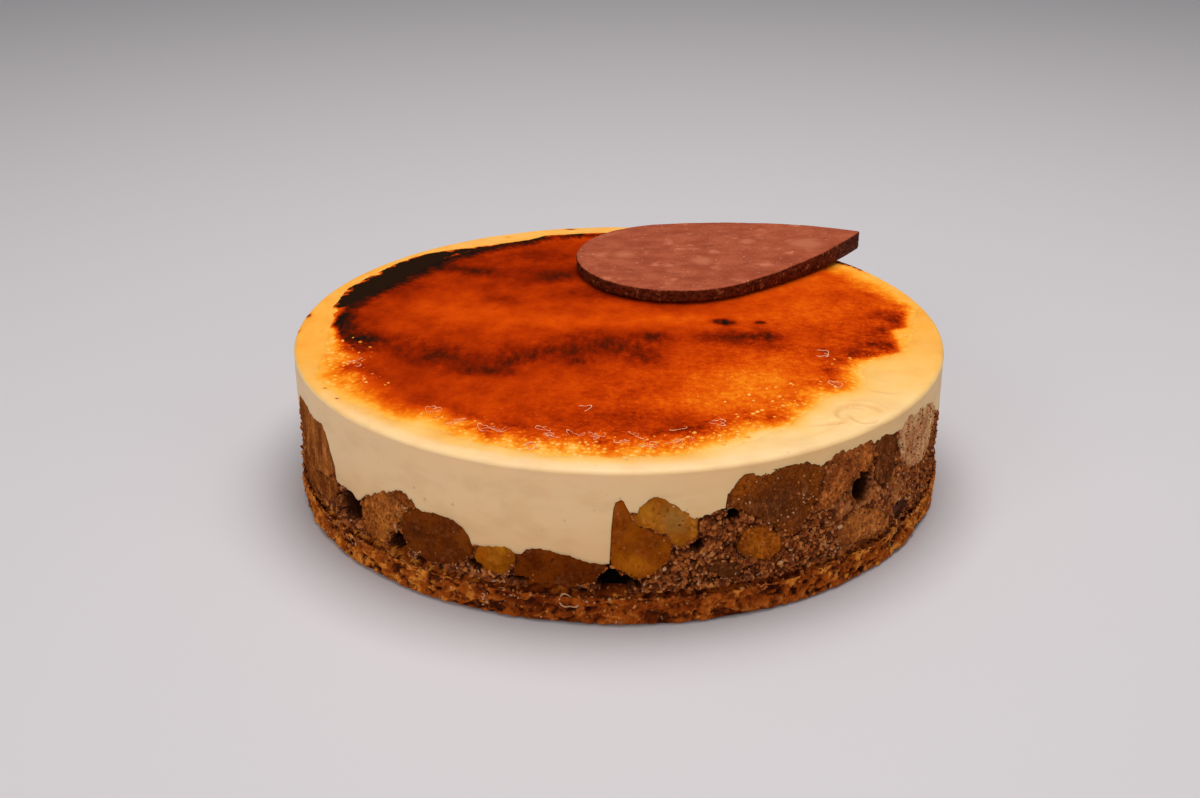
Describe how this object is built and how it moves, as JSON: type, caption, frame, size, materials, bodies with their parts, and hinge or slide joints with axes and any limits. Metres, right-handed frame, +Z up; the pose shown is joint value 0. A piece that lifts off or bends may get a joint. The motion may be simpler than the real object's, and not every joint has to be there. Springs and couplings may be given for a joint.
{
  "type": "tarte tatin cake",
  "caption": "Round ring-moulded apple tart: biscuit base, apple and crumb filling under smooth vanilla cream, burnt caramel top and a flat pointed praline plaque.",
  "frame": {"origin": "centre of the underside, on the surface that the tart stands on", "axes": "+Z up; -Y is the side seen in front, +X to its right"},
  "size_m": [0.2016, 0.2018, 0.0543],
  "materials": {
    "biscuit": "baked biscuit crumb, matt",
    "crumb_filling": "moist crumble with cooked apple, matt",
    "cream": "smooth set cream with vanilla specks, satin",
    "caramel": "burnt sugar glaze, glossy",
    "praline": "pressed praline, satin top and gritty edge",
    "apple_dark": "cooked apple, dark, moist",
    "apple_brown": "cooked apple, brown, moist",
    "apple_golden": "cooked apple, golden, moist",
    "apple_pale": "cooked apple, pale, moist"
  },
  "bodies": {
    "root": {"apple_chunk_brown": "apple_dark", "apple_chunk_golden_small": "apple_golden", "apple_chunk_orange_tall": "apple_golden", "apple_chunk_pale": "apple_pale", "apple_crumb_filling": "crumb_filling", "apple_mass_brown": "apple_brown", "apple_mass_dark": "apple_dark", "apple_piece_back_01": "apple_golden", "apple_piece_back_02": "apple_dark", "apple_piece_back_03": "apple_pale", "apple_piece_back_04": "apple_dark", "apple_piece_back_05": "apple_brown", "apple_piece_back_06": "apple_dark", "apple_piece_back_07": "apple_golden", "apple_piece_back_08": "apple_brown", "apple_piece_back_09": "apple_dark", "apple_piece_back_10": "apple_brown", "apple_piece_back_11": "apple_golden", "apple_piece_back_12": "apple_dark", "apple_piece_back_13": "apple_brown", "apple_piece_dark_low": "apple_dark", "apple_piece_left_low": "apple_brown", "apple_piece_light_low": "apple_brown", "apple_piece_orange_low": "apple_golden", "apple_piece_purple_small": "apple_dark", "apple_piece_rough": "apple_brown", "apple_slice_flat": "apple_dark", "apple_slice_pale_streaky": "apple_pale", "apple_slice_streaky": "apple_brown", "apple_slice_upright": "apple_brown", "biscuit_base": "biscuit", "caramel_top": "caramel", "cream_layer": "cream", "praline_plaque": "praline"}
  },
  "joints": []
}
